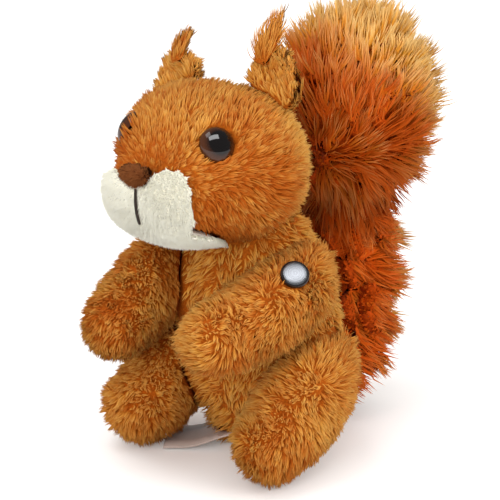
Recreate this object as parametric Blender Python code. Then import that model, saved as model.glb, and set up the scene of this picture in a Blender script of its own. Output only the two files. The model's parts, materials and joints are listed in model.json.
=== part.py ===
"""A sitting plush squirrel, about 13 cm tall, as separate sewn, stuffed and moulded pieces.

It faces -Y, +Z is up, and its left side is +X. The feet and the rump rest on z = 0.
Every stuffed piece is a ball drawn out along a path, as a sewn and filled bag of plush is.
A piece that is sewn to another is trimmed by that other's own form, a seam's gap larger.
"""

import math
import random

import bmesh
import bpy
from mathutils import Matrix, Vector

MM = 0.001

# Driving sizes of the toy
SEAM_GAP = 0.4 * MM  # the clearance that stands for a seam between two sewn pieces
FIT_GAP = 0.3 * MM  # round the hard pieces that sit in plush
TOY_SHIFT = -14.1 * MM  # sets the middle of the toy's length, nose to tail, over the origin

TORSO_WIDTH = 54 * MM
TORSO_DEPTH = 50 * MM
TORSO_HEIGHT = 82 * MM  # from the rump's lowest point to the hidden top of the neck
SHOULDER_SHARE = 0.8  # the shoulders' width as a share of the hips'
RUMP_SINK = 2.5 * MM  # how far the filled rump is pressed flat by what it sits on
CHEST_SEAM = 1.2 * MM  # how deep the front seam is drawn in

HEAD_WIDTH = 59 * MM
HEAD_LENGTH = 60 * MM
HEAD_HEIGHT = 45 * MM
HEAD_BACK = 9 * MM  # the back of the head, from the middle of the torso
HEAD_LEVEL = 90 * MM  # the middle of the head above the floor
SNOUT_DROP = 6 * MM  # how far the snout's middle lies below the head's
SNOUT_SHARE = 0.8  # the snout's width as a share of the head's
SNOUT_SEAM = 4 * MM  # how deep the seam down the middle of the snout lies
SNOUT_SEAM_WIDTH = 9 * MM

ARM_LENGTH = 56 * MM
ARM_RADIUS = 12 * MM
PAW_RADIUS = 12.5 * MM
SHOULDER_LEVEL = 59 * MM
SHOULDER_BACK = 8 * MM  # the arm's hidden root, behind the middle of the torso
SHOULDER_SPREAD = 24 * MM  # from the middle plane to the middle of each upper arm
PAW_SPREAD = 16 * MM
PAW_LEVELS = {"left": 45 * MM, "right": 41 * MM}  # the arms are limp, and the right one droops

LEG_LENGTH = 50 * MM  # front to back, from the hip to the toes
LEG_WIDTH = 25 * MM
LEG_THICKNESS = 32 * MM
HIP_LEVEL = 33 * MM
FOOT_LEVEL = 11.5 * MM  # the middle of the foot above the floor
LEG_SPREAD = 24.5 * MM  # from the middle plane to the middle of each leg

EAR_WIDTH = 19 * MM
EAR_HEIGHT = 19 * MM
EAR_THICKNESS = 6.5 * MM
EAR_CUP = 3.2 * MM  # depth of the hollow in the ear's front
EAR_SCOOP = 2.5 * MM  # how rounded that hollow is
EAR_ROOT = 6 * MM  # how much of the ear's height is sunk in the head before it is trimmed
EAR_PLACE = 0.33  # share of the head's length from its back
TUFT_LENGTH = 16 * MM
TUFT_WIDTH = 8 * MM
TUFT_WISPS = 5

EYE_DIAMETER = 10 * MM
EYE_FLANGE = 0.5 * MM
EYE_RISE = 3.0 * MM  # height of the dome above its flange
EYE_SET = 3.0 * MM  # how deep the flange is pulled into the plush
EYE_PLACE = 0.65  # share of the head's length from its back
EYE_ROUND = 43  # degrees up from the side of the head
EYE_TURN = 26  # degrees outwards from the way the plush faces there
SHANK_DIAMETER = 2.8 * MM
SHANK_LENGTH = 8 * MM
WASHER_DIAMETER = 9 * MM
WASHER_THICKNESS = 1.2 * MM
WASHER_DEPTH = 3 * MM  # from the eye's flange to the washer

NOSE_WIDTH = 15 * MM
NOSE_HEIGHT = 6.5 * MM
NOSE_THICKNESS = 6 * MM
MUZZLE_PROUD = 1.8 * MM  # how far the white panel bulges past the brown plush
THREAD_DIAMETER = 0.9 * MM

TAIL_WIDTH = 36 * MM
PLUME_LENGTH = 50 * MM  # front to back, without the fur's tips
PLUME_HEIGHT = 56 * MM
PLUME_BACK = 45 * MM  # the plume's middle behind the torso's
PLUME_LEVEL = 90 * MM
BRUSH_RADIUS = 12 * MM  # of the tail's lower part, without the fur's tips
FUR_LOCK = 8 * MM  # length of the locks that stand out of the tail

BADGE_DIAMETER = 8 * MM
BADGE_HEIGHT = 1.5 * MM
BADGE_RIM = 0.45 * MM
BADGE_RECESS = 0.6 * MM
BADGE_PIN_DIAMETER = 1.2 * MM
BADGE_PIN_LENGTH = 5 * MM
CLASP_DIAMETER = 4.4 * MM
CLASP_THICKNESS = 1.2 * MM
BADGE_PLACE = 0.39  # share of the arm's length from the shoulder
BADGE_ROUND = 52  # degrees up from the side of the arm
BADGE_TURN = 22  # degrees forwards from the way the plush faces there

TAG_LENGTH = 29 * MM
TAG_WIDTH = 17 * MM
TAG_THICKNESS = 0.5 * MM
TAG_LIFT = 0.6 * MM  # the lowest part of the tag above the floor
TAG_ROOT_LEVEL = 8 * MM  # where it is sewn in, under the belly

# Fineness of the meshes
TORSO_SIDES, TORSO_RINGS = 24, 16
HEAD_SIDES, HEAD_RINGS = 24, 17
LIMB_SIDES, LIMB_RINGS = 16, 12
EAR_SIDES, EAR_RINGS = 12, 9
SMALL_SIDES, SMALL_RINGS = 10, 8
WISP_SIDES, WISP_RINGS = 6, 5
PLUME_SIDES, PLUME_RINGS = 16, 13
BRUSH_SIDES, BRUSH_RINGS = 12, 11
TURNED_STEPS = 16

SIDES = {"left": 1, "right": -1}


def clear_scene():
    for old in list(bpy.data.objects):
        bpy.data.objects.remove(old, do_unlink=True)


def finish(name, colour, roughness, metallic=0.0):
    """A Principled material of one colour, given as linear red, green and blue."""
    material = bpy.data.materials.new(name)
    material.use_nodes = True
    shader = material.node_tree.nodes["Principled BSDF"]
    shader.inputs["Base Color"].default_value = (*colour, 1.0)
    shader.inputs["Roughness"].default_value = roughness
    shader.inputs["Metallic"].default_value = metallic
    material.diffuse_color = (*colour, 1.0)
    return material


def smooth_along(values, t):
    """The value at t, from 0 to 1, on a smooth curve through evenly spaced numbers or vectors."""
    spans = len(values) - 1
    i = min(int(t * spans), spans - 1)
    u = t * spans - i
    a, b = values[i], values[i + 1]
    before = values[i - 1] if i > 0 else a * 2 - b
    after = values[i + 2] if i + 2 <= spans else b * 2 - a
    return (
        a * 2
        + (b - before) * u
        + (before * 2 - a * 5 + b * 4 - after) * u**2
        + (a * 3 - before - b * 3 + after) * u**3
    ) * 0.5


class Bag:
    """A stuffed bag: a ball drawn out along a path, with a half-width and half-depth at each path point.

    The width runs along the direction across, and the depth square to it and to the path.
    """

    def __init__(self, path, widths, depths, across=(1, 0, 0), blunt=1.0, square=2.0, dent=None):
        self.path = [Vector(p) for p in path]
        self.widths = widths
        self.depths = depths
        self.across = Vector(across)
        self.blunt = blunt  # under 1, the bag's ends are fuller than a ball's
        self.square = square  # over 2, its section is fuller than an ellipse
        self.dent = dent  # moves each point of the bag, where a seam draws it in

    def place(self, along, x, y, grow=0.0):
        """The point of the bag for a point (x, y, along) of the unit ball, along from -1 to 1."""
        t = (along + 1) / 2
        step = 0.01
        ahead, behind = min(t + step, 1.0), max(t - step, 0.0)
        run = smooth_along(self.path, ahead) - smooth_along(self.path, behind)
        run.normalize()
        side = (self.across - run * self.across.dot(run)).normalized()
        up = run.cross(side)
        radius = math.sqrt(max(x * x + y * y, 1e-12))
        corner = (abs(x / radius) ** self.square + abs(y / radius) ** self.square) ** (1 / self.square)
        fullness = min(radius, 1.0) ** self.blunt / radius / max(corner, 0.5)
        width = smooth_along(self.widths, t) + grow
        depth = smooth_along(self.depths, t) + grow
        middle = smooth_along(self.path, t) + run * (along * grow)
        point = middle + (side * (x * width) + up * (y * depth)) * fullness
        return self.dent(point) if self.dent else point

    def surface(self, t, angle, grow=0.0):
        """The point and the normal a share t along the path and angle degrees round the bag."""
        along = 2 * t - 1
        radius = math.sqrt(max(1 - along * along, 0.0))

        def at(steps_along, steps_round):
            turn = math.radians(angle + steps_round)
            new_along = along + steps_along
            new_radius = math.sqrt(max(1 - new_along * new_along, 0.0))
            return self.place(
                new_along, new_radius * math.cos(turn), new_radius * math.sin(turn), grow
            )

        point = self.place(
            along, radius * math.cos(math.radians(angle)), radius * math.sin(math.radians(angle)), grow
        )
        normal = (at(0, 1) - at(0, -1)).cross(at(0.01, 0) - at(-0.01, 0)).normalized()
        return point, normal

    def mesh(self, name, sides, rings, grow=0.0, shape=None):
        """A closed mesh of the bag; shape(mesh) may change it before it is stored."""
        built = bmesh.new()
        bmesh.ops.create_uvsphere(built, u_segments=sides, v_segments=rings, radius=1.0)
        for vertex in built.verts:
            x, y, along = vertex.co
            vertex.co = self.place(max(-1.0, min(1.0, along)), x, y, grow)
        built.normal_update()
        if shape:
            shape(built)
        bmesh.ops.triangulate(built, faces=built.faces)
        mesh = bpy.data.meshes.new(name)
        built.to_mesh(mesh)
        built.free()
        return mesh


def place_object(name, mesh, material=None, helper=False):
    thing = bpy.data.objects.new(name, mesh)
    bpy.context.scene.collection.objects.link(thing)
    thing.parent = toy
    if material:
        mesh.materials.append(material)
    mesh.shade_smooth()
    if helper:
        thing.hide_render = True
        thing.display_type = "WIRE"
    return thing


def combine(piece, other, operation, solver="EXACT"):
    modifier = piece.modifiers.new(operation.lower() + "_" + other.name, "BOOLEAN")
    modifier.operation = operation
    modifier.solver = solver
    modifier.object = other
    return piece


def trim(piece, *cutters, solver="EXACT"):
    for cutter in cutters:
        combine(piece, cutter, "DIFFERENCE", solver)
    return piece


def turned(name, profile, material=None, helper=False):
    """A round piece from a profile of (radius, height) points that starts and ends on its own Z axis."""
    built = bmesh.new()
    points = [built.verts.new((radius, 0, height)) for radius, height in profile]
    edges = [built.edges.new(pair) for pair in zip(points, points[1:])]
    bmesh.ops.spin(
        built,
        geom=points + edges,
        cent=(0, 0, 0),
        axis=(0, 0, 1),
        angle=2 * math.pi,
        steps=TURNED_STEPS,
    )
    bmesh.ops.remove_doubles(built, verts=built.verts, dist=0.001 * MM)
    built.normal_update()
    bmesh.ops.recalc_face_normals(built, faces=built.faces)
    mesh = bpy.data.meshes.new(name)
    built.to_mesh(mesh)
    built.free()
    return place_object(name, mesh, material, helper)


def stand_on(piece, point, normal, spin=0.0):
    """Turns the piece's own +Z to the normal and sets its origin on the point."""
    turn = normal.to_track_quat("Z", "Y").to_matrix().to_4x4()
    piece.matrix_local = Matrix.Translation(point) @ turn @ Matrix.Rotation(spin, 4, "Z")
    return piece


def mirrored(points, side):
    return [(x * side, y, z) for x, y, z in points]


clear_scene()
toy = bpy.data.objects.new("toy", None)
bpy.context.scene.collection.objects.link(toy)
toy.location = (0, TOY_SHIFT, 0)

brown_plush = finish("brown_plush", (0.46, 0.15, 0.028), 0.9)
white_plush = finish("white_plush", (0.78, 0.72, 0.55), 0.9)
tail_fur = finish("tail_fur", (0.5, 0.16, 0.02), 0.8)
nose_cloth = finish("nose_cloth", (0.09, 0.025, 0.008), 0.85)
thread = finish("thread", (0.02, 0.012, 0.008), 0.7)
eye_plastic = finish("eye_plastic", (0.02, 0.008, 0.005), 0.08)
washer_plastic = finish("washer_plastic", (0.75, 0.75, 0.72), 0.5)
badge_steel = finish("badge_steel", (0.03, 0.027, 0.027), 0.35, 0.9)
badge_tin = finish("badge_tin", (0.55, 0.56, 0.58), 0.3, 0.9)
tag_satin = finish("tag_satin", (0.7, 0.66, 0.62), 0.5)

# The floor presses the rump and the feet flat
floor_reach = 4 * TORSO_WIDTH
floor_mesh = bpy.data.meshes.new("floor_block")
floor_shape = bmesh.new()
bmesh.ops.create_cube(floor_shape, size=floor_reach)
bmesh.ops.translate(floor_shape, verts=floor_shape.verts, vec=(0, 0, -floor_reach / 2))
floor_shape.to_mesh(floor_mesh)
floor_shape.free()
floor_block = place_object("floor_block", floor_mesh, helper=True)

# The head's whole form, from the back of the skull to the nose


def draw_in_snout_seam(point):
    """The seam down the middle of the snout lies deeper than the cheeks at its sides."""
    front = (HEAD_BACK - point.y) / HEAD_LENGTH
    near_seam = math.exp(-((point.x / SNOUT_SEAM_WIDTH) ** 2))
    return point + Vector((0, SNOUT_SEAM * near_seam * max(front - 0.75, 0) / 0.25, 0))


head_bag = Bag(
    path=[
        (0, HEAD_BACK, HEAD_LEVEL),
        (0, HEAD_BACK - HEAD_LENGTH * 0.25, HEAD_LEVEL),
        (0, HEAD_BACK - HEAD_LENGTH * 0.5, HEAD_LEVEL),
        (0, HEAD_BACK - HEAD_LENGTH * 0.75, HEAD_LEVEL - SNOUT_DROP * 0.6),
        (0, HEAD_BACK - HEAD_LENGTH, HEAD_LEVEL - SNOUT_DROP),
    ],
    widths=[HEAD_WIDTH * share for share in (0.47, 0.5, 0.475, 0.46 * SNOUT_SHARE, 0.49 * SNOUT_SHARE)],
    depths=[HEAD_HEIGHT * share for share in (0.48, 0.5, 0.49, 0.41, 0.39)],
    blunt=0.9,
    square=2.4,
    dent=draw_in_snout_seam,
)

# The torso's form, from the rump up into the head
torso_bag = Bag(
    path=[
        (0, TORSO_DEPTH * 0.22, -RUMP_SINK),
        (0, TORSO_DEPTH * 0.12, TORSO_HEIGHT * 0.33),
        (0, TORSO_DEPTH * 0.04, TORSO_HEIGHT * 0.66),
        (0, TORSO_DEPTH * -0.12, TORSO_HEIGHT),
    ],
    widths=[
        TORSO_WIDTH * 0.48,
        TORSO_WIDTH * 0.5,
        TORSO_WIDTH * 0.5 * (1 + SHOULDER_SHARE) / 2,
        TORSO_WIDTH * 0.5 * SHOULDER_SHARE,
    ],
    depths=[
        TORSO_DEPTH * 0.46,
        TORSO_DEPTH * 0.5,
        TORSO_DEPTH * 0.5 * (1 + SHOULDER_SHARE) / 2,
        TORSO_DEPTH * 0.5 * SHOULDER_SHARE,
    ],
    blunt=0.8,
)


def draw_in_chest_seam(built):
    """Pulls the line of points down the middle of the front inwards, where the two front panels are sewn."""
    for vertex in built.verts:
        if abs(vertex.co.x) < 0.1 * MM and vertex.co.y < -TORSO_DEPTH * 0.25:
            vertex.co.y += CHEST_SEAM


head_seam = place_object(
    "head_seam", head_bag.mesh("head_seam", HEAD_SIDES, HEAD_RINGS, SEAM_GAP), helper=True
)
torso_seam = place_object(
    "torso_seam", torso_bag.mesh("torso_seam", TORSO_SIDES, TORSO_RINGS, SEAM_GAP), helper=True
)

torso = place_object(
    "torso", torso_bag.mesh("torso", TORSO_SIDES, TORSO_RINGS, shape=draw_in_chest_seam), brown_plush
)
trim(torso, head_seam, floor_block)

# The white muzzle is a panel of the head's form: two cheeks, the lip between them and a chin, let
# into the brown plush
snout_tip = head_bag.path[-1]
CHEEK_WIDTH = HEAD_WIDTH * 0.35
CHEEK_HEIGHT = HEAD_HEIGHT * 0.62
CHIN_WIDTH = HEAD_WIDTH * 0.83
CHEEK_DROPS = {"left": 2 * MM, "right": 10 * MM}  # to the front; the right cheek is sewn lower


def muzzle_block(name, grow):
    """The space that the muzzle panel takes out of the head, larger by grow."""
    block_front = snout_tip.y - HEAD_LENGTH * 0.17
    lip = Bag(
        path=[
            (0, snout_tip.y + HEAD_LENGTH * 0.14, snout_tip.z - CHEEK_HEIGHT * 0.15),
            (0, block_front, snout_tip.z - CHEEK_HEIGHT * 0.15),
        ],
        widths=[CHEEK_WIDTH * 0.3] * 2,
        depths=[CHEEK_HEIGHT * 0.38] * 2,
        blunt=0.35,
    )
    cheeks = [place_object(f"{name}_lip", lip.mesh(f"{name}_lip", LIMB_SIDES, LIMB_RINGS, grow), helper=True)]
    for side_name, side in SIDES.items():
        cheek = Bag(
            path=mirrored(
                [
                    (CHEEK_WIDTH * 0.59, snout_tip.y + HEAD_LENGTH * 0.14, snout_tip.z),
                    (CHEEK_WIDTH * 0.43, block_front, snout_tip.z - CHEEK_DROPS[side_name]),
                ],
                side,
            ),
            widths=[CHEEK_WIDTH / 2] * 2,
            depths=[CHEEK_HEIGHT / 2] * 2,
            blunt=0.35,
        )
        mesh = cheek.mesh(f"{name}_{side_name}", LIMB_SIDES, LIMB_RINGS, grow)
        cheeks.append(place_object(f"{name}_{side_name}", mesh, helper=True))
    chin = Bag(
        path=[
            (0, snout_tip.y + HEAD_LENGTH * 0.53, snout_tip.z - HEAD_HEIGHT * 0.47),
            (0, snout_tip.y + HEAD_LENGTH * 0.2, snout_tip.z - HEAD_HEIGHT * 0.4),
            (0, snout_tip.y - HEAD_LENGTH * 0.13, snout_tip.z - HEAD_HEIGHT * 0.31),
        ],
        widths=[CHIN_WIDTH * 0.49, CHIN_WIDTH * 0.51, CHIN_WIDTH * 0.41],
        depths=[HEAD_HEIGHT * 0.17, HEAD_HEIGHT * 0.255, HEAD_HEIGHT * 0.245],
        blunt=0.6,
    )
    chin_mesh = chin.mesh(f"{name}_chin", LIMB_SIDES, LIMB_RINGS, grow)
    block = place_object(f"{name}_chin", chin_mesh, helper=True)
    for cheek in cheeks:
        combine(block, cheek, "UNION", "MANIFOLD")
    return block


muzzle = place_object(
    "muzzle", head_bag.mesh("muzzle", HEAD_SIDES, HEAD_RINGS, MUZZLE_PROUD), white_plush
)
combine(muzzle, muzzle_block("muzzle_block", 0.0), "INTERSECT", "MANIFOLD")

head = place_object("head", head_bag.mesh("head", HEAD_SIDES, HEAD_RINGS), brown_plush)
trim(head, muzzle_block("muzzle_recess", SEAM_GAP), solver="MANIFOLD")

# The chest gives way to the muzzle, which is a little proud of the head
muzzle_seam = place_object(
    "muzzle_seam",
    head_bag.mesh("muzzle_seam", HEAD_SIDES, HEAD_RINGS, MUZZLE_PROUD + SEAM_GAP),
    helper=True,
)

# The eyes are domes on a shank, each held by a washer pressed on inside the head


def eye_profile(grow):
    """The eye's half section from the tip of its shank to the top of its dome, larger by grow."""
    radius = EYE_DIAMETER / 2
    dome = [
        (
            (radius + grow) * math.cos(math.radians(turn)),
            -EYE_SET + EYE_FLANGE + (EYE_RISE + grow) * math.sin(math.radians(turn)),
        )
        for turn in range(0, 90, 15)
    ]
    shank = SHANK_DIAMETER / 2 + grow
    return [
        (0, -EYE_SET - SHANK_LENGTH - grow),
        (shank, -EYE_SET - SHANK_LENGTH - grow),
        (shank, -EYE_SET - grow),
        (radius + grow, -EYE_SET - grow),
        *dome,
        (0, -EYE_SET + EYE_FLANGE + EYE_RISE + grow),
    ]


def washer_profile(grow):
    inner, outer = SHANK_DIAMETER / 2 + FIT_GAP - grow, WASHER_DIAMETER / 2 + grow
    top, bottom = -EYE_SET - WASHER_DEPTH + grow, -EYE_SET - WASHER_DEPTH - WASHER_THICKNESS - grow
    return inner, outer, top, bottom


def ring(name, inner, outer, top, bottom, material):
    """A flat ring about its own Z axis."""
    built = bmesh.new()
    corners = [(inner, bottom), (outer, bottom), (outer, top), (inner, top)]
    points = [built.verts.new((radius, 0, height)) for radius, height in corners]
    edges = [built.edges.new((points[i], points[(i + 1) % 4])) for i in range(4)]
    bmesh.ops.spin(
        built, geom=points + edges, cent=(0, 0, 0), axis=(0, 0, 1), angle=2 * math.pi, steps=TURNED_STEPS
    )
    bmesh.ops.remove_doubles(built, verts=built.verts, dist=0.001 * MM)
    built.normal_update()
    bmesh.ops.recalc_face_normals(built, faces=built.faces)
    mesh = bpy.data.meshes.new(name)
    built.to_mesh(mesh)
    built.free()
    return place_object(name, mesh, material)


for side_name, side in SIDES.items():
    angle = EYE_ROUND if side > 0 else 180 - EYE_ROUND
    point, normal = head_bag.surface(EYE_PLACE, angle)
    normal.rotate(Matrix.Rotation(math.radians(EYE_TURN * side), 3, "Z"))
    eye = turned(f"eye_{side_name}", eye_profile(0.0), eye_plastic)
    washer = ring(f"eye_washer_{side_name}", *washer_profile(0.0), washer_plastic)
    socket = turned(f"eye_socket_{side_name}", eye_profile(FIT_GAP), helper=True)
    inner, outer, top, bottom = washer_profile(FIT_GAP)
    pocket = turned(
        f"washer_pocket_{side_name}", [(0, bottom), (outer, bottom), (outer, top), (0, top)], helper=True
    )
    for piece in (eye, washer, socket, pocket):
        stand_on(piece, point, normal)
    trim(head, socket, pocket, solver="MANIFOLD")
    trim(muzzle, socket, solver="MANIFOLD")

# The nose is a small padded patch sewn where the brown snout meets the white cheeks
nose_level = snout_tip.z + HEAD_HEIGHT * 0.165
nose_front = snout_tip.y + SNOUT_SEAM
nose_bag = Bag(
    path=[
        (-NOSE_WIDTH * 0.5, nose_front + NOSE_THICKNESS * 0.1, nose_level + NOSE_HEIGHT * 0.25),
        (-NOSE_WIDTH * 0.25, nose_front, nose_level + NOSE_HEIGHT * 0.1),
        (0, nose_front - NOSE_THICKNESS * 0.05, nose_level),
        (NOSE_WIDTH * 0.25, nose_front, nose_level + NOSE_HEIGHT * 0.1),
        (NOSE_WIDTH * 0.5, nose_front + NOSE_THICKNESS * 0.1, nose_level + NOSE_HEIGHT * 0.25),
    ],
    widths=[NOSE_HEIGHT * share for share in (0.3, 0.42, 0.5, 0.42, 0.3)],
    depths=[NOSE_THICKNESS * share for share in (0.4, 0.5, 0.5, 0.5, 0.4)],
    across=(0, 0, 1),
)
nose = place_object("nose", nose_bag.mesh("nose", SMALL_SIDES, SMALL_RINGS), nose_cloth)
trim(nose, muzzle_seam, solver="MANIFOLD")

# One long stitch runs down from the nose, half sunk between the cheeks
stitch_bag = Bag(
    path=[
        head_bag.surface(0.985, 90, MUZZLE_PROUD)[0],
        head_bag.place(1, 0, 0, MUZZLE_PROUD),
        head_bag.surface(0.99, 270, MUZZLE_PROUD)[0],
        head_bag.surface(0.98, 270, MUZZLE_PROUD)[0],
    ],
    widths=[THREAD_DIAMETER / 2] * 4,
    depths=[THREAD_DIAMETER / 2] * 4,
    blunt=0.4,
)
stitch = place_object("mouth_stitch", stitch_bag.mesh("mouth_stitch", 8, SMALL_RINGS), thread)
stitch_groove = place_object(
    "stitch_groove", stitch_bag.mesh("stitch_groove", 8, SMALL_RINGS, FIT_GAP), helper=True
)
nose_seam = place_object(
    "nose_seam", nose_bag.mesh("nose_seam", SMALL_SIDES, SMALL_RINGS, FIT_GAP), helper=True
)
trim(muzzle, stitch_groove, solver="MANIFOLD")
trim(head, stitch_groove, solver="MANIFOLD")
trim(stitch, nose_seam, solver="MANIFOLD")

# Ears are two layers of plush, cupped to the front, with a tuft of long fur sewn into the tip
# For each ear: its place in degrees up from the side of the head, its lean outwards and back in
# degrees, how much deeper it sits, and its tuft's share of the tuft's length
EARS = {
    "left": (58, 8, 10, 0, 1.0),
    "right": (49, 26, 24, 2.5 * MM, 0.75),
}


def ear_form():
    return Bag(
        path=[(0, 0, -EAR_ROOT), (0, 0, (EAR_HEIGHT - 2 * EAR_ROOT) / 2), (0, 0, EAR_HEIGHT - EAR_ROOT)],
        widths=[EAR_WIDTH * 0.5, EAR_WIDTH * 0.5, EAR_WIDTH * 0.42],
        depths=[EAR_THICKNESS * 0.5, EAR_THICKNESS * 0.5, EAR_THICKNESS * 0.4],
    )


def locks(built, faces, length, comb, seed):
    """Draws each of these faces out into a pointed lock of fur."""
    chance = random.Random(seed)
    for face in sorted(faces, key=lambda face: tuple(face.calc_center_median().to_tuple(5))):
        middle, normal = face.calc_center_median(), face.normal.copy()
        reach = length(middle, normal) * chance.uniform(0.75, 1.2)
        way = (normal + comb(middle, normal)).normalized()
        stem = middle + way * reach * 0.4
        tip = middle + (way + comb(middle, normal) * 0.5).normalized() * reach
        grown = bmesh.ops.extrude_discrete_faces(built, faces=[face])["faces"][0]
        for corner in grown.verts:
            corner.co = stem + (corner.co - middle) * 0.6
        point = bmesh.ops.poke(built, faces=[grown])["verts"][0]
        point.co = tip


def ear_tuft(name, share, place):
    """A fan of pointed wisps that curl back, joined at their foot; share scales their full length."""
    wisps = []
    for i in range(TUFT_WISPS):
        fan = 2 * i / (TUFT_WISPS - 1) - 1
        length = TUFT_LENGTH * share * (1 - 0.35 * abs(fan))
        wisp = Bag(
            path=[
                (fan * TUFT_WIDTH * 0.2, 0, TUFT_WIDTH * -0.25),
                (fan * TUFT_WIDTH * 0.32, 0.1 * length, length * 0.4),
                (fan * TUFT_WIDTH * 0.5, 0.45 * length, length),
            ],
            widths=[TUFT_WIDTH * 0.2, TUFT_WIDTH * 0.2, TUFT_WIDTH * 0.05],
            depths=[TUFT_WIDTH * 0.2, TUFT_WIDTH * 0.17, TUFT_WIDTH * 0.05],
        )
        wisp_name = f"{name}_wisp_{i}"
        wisps.append(place_object(wisp_name, wisp.mesh(wisp_name, WISP_SIDES, WISP_RINGS), helper=True))
        wisps[-1].matrix_local = place
    middle = wisps.pop(TUFT_WISPS // 2)
    tuft = place_object(name, middle.data.copy(), tail_fur)
    tuft.matrix_local = place
    bpy.data.objects.remove(middle)
    for wisp in wisps:
        combine(tuft, wisp, "UNION", "MANIFOLD")
    return tuft


for side_name, side in SIDES.items():
    ear_round, lean_out, lean_back, sunk, tuft_share = EARS[side_name]
    point, normal = head_bag.surface(EAR_PLACE, ear_round if side > 0 else 180 - ear_round)
    point -= normal * sunk
    upright = Matrix.Rotation(math.radians(lean_out * side), 4, "Y") @ Matrix.Rotation(
        math.radians(-lean_back), 4, "X"
    )
    ear_mesh = ear_form().mesh(f"ear_{side_name}", EAR_SIDES, EAR_RINGS)
    ear = place_object(f"ear_{side_name}", ear_mesh, brown_plush)
    scoop_bag = Bag(
        path=[
            (0, -EAR_THICKNESS, -EAR_ROOT * 0.2),
            (0, -EAR_THICKNESS * 0.5 - EAR_SCOOP + EAR_CUP, EAR_HEIGHT * 0.28),
            (0, -EAR_THICKNESS, EAR_HEIGHT * 0.62),
        ],
        widths=[EAR_WIDTH * 0.3] * 3,
        depths=[EAR_SCOOP] * 3,
    )
    scoop_mesh = scoop_bag.mesh(f"ear_scoop_{side_name}", SMALL_SIDES, SMALL_RINGS)
    scoop = place_object(f"ear_scoop_{side_name}", scoop_mesh, helper=True)
    tip = Vector((-EAR_WIDTH * 0.2 * side, -EAR_THICKNESS * 0.5, EAR_HEIGHT * 0.46))
    for piece in (ear, scoop):
        piece.matrix_local = Matrix.Translation(point) @ upright
    tuft_place = Matrix.Translation(point) @ upright @ Matrix.Translation(tip)
    tuft = ear_tuft(f"ear_tuft_{side_name}", tuft_share, tuft_place)
    ear_seam = place_object(
        f"ear_seam_{side_name}",
        ear_form().mesh(f"ear_seam_{side_name}", EAR_SIDES, EAR_RINGS, SEAM_GAP),
        helper=True,
    )
    ear_seam.matrix_local = Matrix.Translation(point) @ upright
    trim(ear, scoop, head_seam)
    trim(tuft, ear_seam, head_seam, solver="MANIFOLD")

# Arms reach forward from the shoulders
arm_bags = {}
for side_name, side in SIDES.items():
    drop = SHOULDER_LEVEL - PAW_LEVELS[side_name]
    arm_bags[side_name] = Bag(
        path=mirrored(
            [
                (SHOULDER_SPREAD * 0.83, SHOULDER_BACK, SHOULDER_LEVEL),
                (SHOULDER_SPREAD, SHOULDER_BACK - ARM_LENGTH * 0.33, SHOULDER_LEVEL - drop * 0.35),
                (SHOULDER_SPREAD * 0.83, SHOULDER_BACK - ARM_LENGTH * 0.66, SHOULDER_LEVEL - drop * 0.75),
                (PAW_SPREAD, SHOULDER_BACK - ARM_LENGTH, SHOULDER_LEVEL - drop),
            ],
            side,
        ),
        widths=[ARM_RADIUS * 0.8, ARM_RADIUS * 0.9, PAW_RADIUS * 0.97, PAW_RADIUS],
        depths=[ARM_RADIUS * 1.1, ARM_RADIUS * 1.1, PAW_RADIUS, PAW_RADIUS],
        blunt=0.5,
    )
    arm = place_object(
        f"arm_{side_name}", arm_bags[side_name].mesh(f"arm_{side_name}", LIMB_SIDES, LIMB_RINGS), brown_plush
    )
    trim(arm, torso_seam, muzzle_seam)

# A leg is one thick bag that slopes from the hip down to the toes
leg_bags = {}
for side_name, side in SIDES.items():
    leg_bags[side_name] = Bag(
        path=mirrored(
            [
                (LEG_SPREAD * 0.88, LEG_LENGTH * 0.3, HIP_LEVEL),
                (LEG_SPREAD, 0, HIP_LEVEL * 0.76),
                (LEG_SPREAD, LEG_LENGTH * -0.33, FOOT_LEVEL * 1.25),
                (LEG_SPREAD * 1.04, LEG_LENGTH * -0.66, FOOT_LEVEL),
            ],
            side,
        ),
        widths=[LEG_WIDTH * 0.46, LEG_WIDTH * 0.5, LEG_WIDTH * 0.5, LEG_WIDTH * 0.5],
        depths=[LEG_THICKNESS * 0.46, LEG_THICKNESS * 0.5, LEG_THICKNESS * 0.47, LEG_THICKNESS * 0.4],
        blunt=0.6,
    )
    leg = place_object(
        f"leg_{side_name}", leg_bags[side_name].mesh(f"leg_{side_name}", LIMB_SIDES, LIMB_RINGS), brown_plush
    )
    trim(leg, torso_seam, floor_block)

# The tail: a brush of long fur up the back, and a plume curled back over its top
brush_bag = Bag(
    path=[
        (0, PLUME_BACK * 0.44, PLUME_LEVEL * 0.1),
        (0, PLUME_BACK * 0.84, PLUME_LEVEL * 0.22),
        (0, PLUME_BACK * 0.93, PLUME_LEVEL * 0.47),
        (0, PLUME_BACK * 0.87, PLUME_LEVEL * 0.71),
        (0, PLUME_BACK * 0.89, PLUME_LEVEL * 0.96),
    ],
    widths=[TAIL_WIDTH * 0.34, TAIL_WIDTH * 0.4, TAIL_WIDTH * 0.42, TAIL_WIDTH * 0.4, TAIL_WIDTH * 0.4],
    depths=[BRUSH_RADIUS * 0.9, BRUSH_RADIUS, BRUSH_RADIUS, BRUSH_RADIUS, BRUSH_RADIUS],
    blunt=0.8,
)
plume_bag = Bag(
    path=[
        (0, PLUME_BACK - PLUME_LENGTH * 0.42, PLUME_LEVEL * 0.98),
        (0, PLUME_BACK, PLUME_LEVEL * 1.03),
        (0, PLUME_BACK + PLUME_LENGTH * 0.5, PLUME_LEVEL),
    ],
    widths=[TAIL_WIDTH * 0.46, TAIL_WIDTH * 0.5, TAIL_WIDTH * 0.5],
    depths=[PLUME_HEIGHT * 0.5, PLUME_HEIGHT * 0.5, PLUME_HEIGHT * 0.46],
)


def fur_length(middle, normal):
    """Long at the back and the top, short where the tail lies against the head and the back."""
    return FUR_LOCK * (0.75 + 0.4 * normal.y)


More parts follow.
